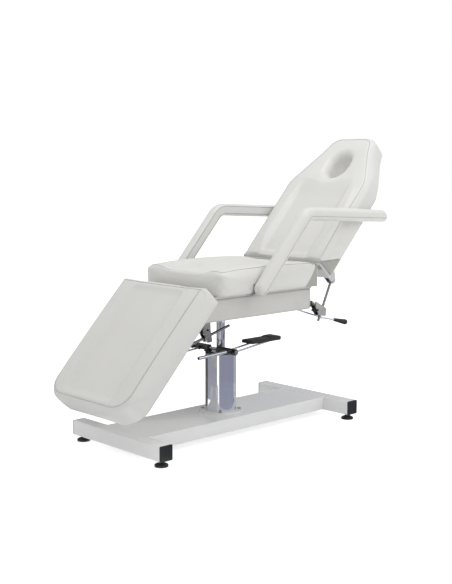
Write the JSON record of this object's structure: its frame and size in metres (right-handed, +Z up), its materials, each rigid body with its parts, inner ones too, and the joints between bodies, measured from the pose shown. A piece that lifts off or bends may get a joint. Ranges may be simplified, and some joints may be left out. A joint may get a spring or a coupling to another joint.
{
  "type": "facial treatment bed",
  "caption": "Facial treatment bed on a hydraulic foot-pump column, with reclining backrest, adjustable leg rest, armrests and a face hole, on an H-shaped base.",
  "frame": {"origin": "on the floor, under the middle of the overall width and length", "axes": "+Z up; +Y towards the head end, along the bed; +X towards the side that carries the release lever and the strut clamps"},
  "size_m": [0.59, 1.6246, 1.2325],
  "materials": {
    "white_enamel": "gloss",
    "coated_fabric": "satin",
    "grey_coated_fabric": "satin",
    "wrapped_board": "satin",
    "rear_board": "gloss",
    "chrome": "polished",
    "zinc_steel": "satin",
    "dark_steel": "satin",
    "black_plastic": "matte",
    "black_rubber": "matte"
  },
  "bodies": {
    "base": {"base_plate": "white_enamel", "foot_crossbar": "white_enamel", "head_crossbar": "white_enamel", "crossbar_end_caps": "black_plastic", "levelling_nuts": "zinc_steel", "base_bolts": "zinc_steel", "pump_flange": "white_enamel", "pump_cylinder": "dark_steel", "pump_shroud": "chrome", "shroud_cap": "black_plastic", "pump_head": "dark_steel", "pedal_shaft": "zinc_steel"},
    "front_left_foot": {"foot_front_left": "black_rubber"},
    "front_right_foot": {"foot_front_right": "black_rubber"},
    "rear_left_foot": {"foot_rear_left": "black_rubber"},
    "rear_right_foot": {"foot_rear_right": "black_rubber"},
    "rear_pedal": {"rear_pedal_hub": "black_plastic", "rear_pedal_loop": "chrome", "rear_pedal_pad": "black_rubber", "rear_pedal_tube": "chrome"},
    "front_pedal": {"front_pedal_hub": "black_plastic", "front_pedal_loop": "chrome", "front_pedal_pad": "black_rubber"},
    "plunger": {"pump_plunger": "chrome"},
    "piston": {"piston_rod": "chrome", "piston_head": "zinc_steel"},
    "seat": {"mounting_plate": "dark_steel", "cross_members": "dark_steel", "seat_rails": "dark_steel", "seat_board": "wrapped_board", "seat_rear_board": "rear_board", "seat_cushion": "coated_fabric", "apron_side_panels": "grey_coated_fabric", "apron_front_panel": "grey_coated_fabric", "apron_rear_panel": "grey_coated_fabric", "hinge_pins": "zinc_steel", "back_hinge_seat_leaf": "zinc_steel", "leg_hinge_seat_leaf": "zinc_steel", "leg_clamp_bracket": "zinc_steel", "back_clamp_bracket": "zinc_steel", "clamp_jaws": "black_plastic", "armrest_brackets": "zinc_steel", "armrest_bolts": "zinc_steel"},
    "backrest": {"back_board": "wrapped_board", "back_end_board": "rear_board", "back_cushion": "coated_fabric", "back_hinge_leaf": "zinc_steel", "back_strut_bracket": "zinc_steel"},
    "leg_rest": {"leg_board": "wrapped_board", "leg_cushion": "coated_fabric", "leg_hinge_leaf": "zinc_steel", "leg_strut_bracket": "zinc_steel"},
    "back_support_strut": {"back_strut": "chrome"},
    "leg_support_strut": {"leg_strut": "chrome"},
    "release_handle": {"release_lever": "chrome", "lever_knob": "black_plastic"},
    "left_armrest": {"left_armrest_plate": "zinc_steel", "left_armrest_pad": "coated_fabric"},
    "right_armrest": {"right_armrest_plate": "zinc_steel", "right_armrest_pad": "coated_fabric"}
  },
  "joints": [
    {"name": "front_left_foot_screw", "type": "hinge", "parent": "base", "child": "front_left_foot", "pos_m": [-0.246, -0.62887, 0], "axis": [0, 0, 1], "range_deg": [-180, 180]},
    {"name": "front_right_foot_screw", "type": "hinge", "parent": "base", "child": "front_right_foot", "pos_m": [0.246, -0.62887, 0], "axis": [0, 0, 1], "range_deg": [-180, 180]},
    {"name": "rear_left_foot_screw", "type": "hinge", "parent": "base", "child": "rear_left_foot", "pos_m": [-0.246, 0.42513, 0], "axis": [0, 0, 1], "range_deg": [-180, 180]},
    {"name": "rear_right_foot_screw", "type": "hinge", "parent": "base", "child": "rear_right_foot", "pos_m": [0.246, 0.42513, 0], "axis": [0, 0, 1], "range_deg": [-180, 180]},
    {"name": "rear_pedal_hinge", "type": "hinge", "parent": "base", "child": "rear_pedal", "pos_m": [0, -0.14187, 0.35], "axis": [-1, 0, 0], "range_deg": [0, 14], "stiffness_Nm_per_rad": 8, "springref_deg": -20.05},
    {"name": "front_pedal_hinge", "type": "hinge", "parent": "base", "child": "front_pedal", "pos_m": [0, -0.14187, 0.35], "axis": [1, 0, 0], "range_deg": [0, 14], "stiffness_Nm_per_rad": 8, "springref_deg": -20.05},
    {"name": "plunger_slide", "type": "slide", "parent": "base", "child": "plunger", "axis": [0, 0, -1], "range_m": [0, 0.0069]},
    {"name": "column_lift", "type": "slide", "parent": "base", "child": "piston", "axis": [0, 0, 1], "range_m": [-0.035, 0.125]},
    {"name": "seat_swivel", "type": "hinge", "parent": "piston", "child": "seat", "pos_m": [0, -0.10187, 0.53], "axis": [0, 0, 1], "continuous": true},
    {"name": "backrest_hinge", "type": "hinge", "parent": "seat", "child": "backrest", "pos_m": [0, 0.24613, 0.688], "axis": [1, 0, 0], "range_deg": [-47, 7]},
    {"name": "leg_rest_hinge", "type": "hinge", "parent": "seat", "child": "leg_rest", "pos_m": [0, -0.32187, 0.584], "axis": [-1, 0, 0], "range_deg": [0, 47]},
    {"name": "back_strut_pivot", "type": "hinge", "parent": "backrest", "child": "back_support_strut", "pos_m": [0.205, 0.3529, 0.60895], "axis": [1, 0, 0], "range_deg": [-13, 81]},
    {"name": "leg_strut_pivot", "type": "hinge", "parent": "leg_rest", "child": "leg_support_strut", "pos_m": [0.08, -0.52688, 0.34802], "axis": [-1, 0, 0], "range_deg": [-12, 1]},
    {"name": "release_lever_hinge", "type": "hinge", "parent": "seat", "child": "release_handle", "pos_m": [0.18, 0.13813, 0.51], "axis": [1, 0, 0], "range_deg": [0, 8]},
    {"name": "left_armrest_hinge", "type": "hinge", "parent": "seat", "child": "left_armrest", "pos_m": [-0.246, -0.12987, 0.621], "axis": [-1, 0, 0], "range_deg": [0, 50]},
    {"name": "right_armrest_hinge", "type": "hinge", "parent": "seat", "child": "right_armrest", "pos_m": [0.246, -0.12987, 0.621], "axis": [-1, 0, 0], "range_deg": [0, 50]}
  ],
  "couplings": [
    {"joint": "plunger_slide", "follows": "rear_pedal_hinge", "m_per_rad": 0.028},
    {"joint": "back_strut_pivot", "follows": "backrest_hinge", "ratio": -1.7},
    {"joint": "leg_strut_pivot", "follows": "leg_rest_hinge", "ratio": -0.24}
  ]
}
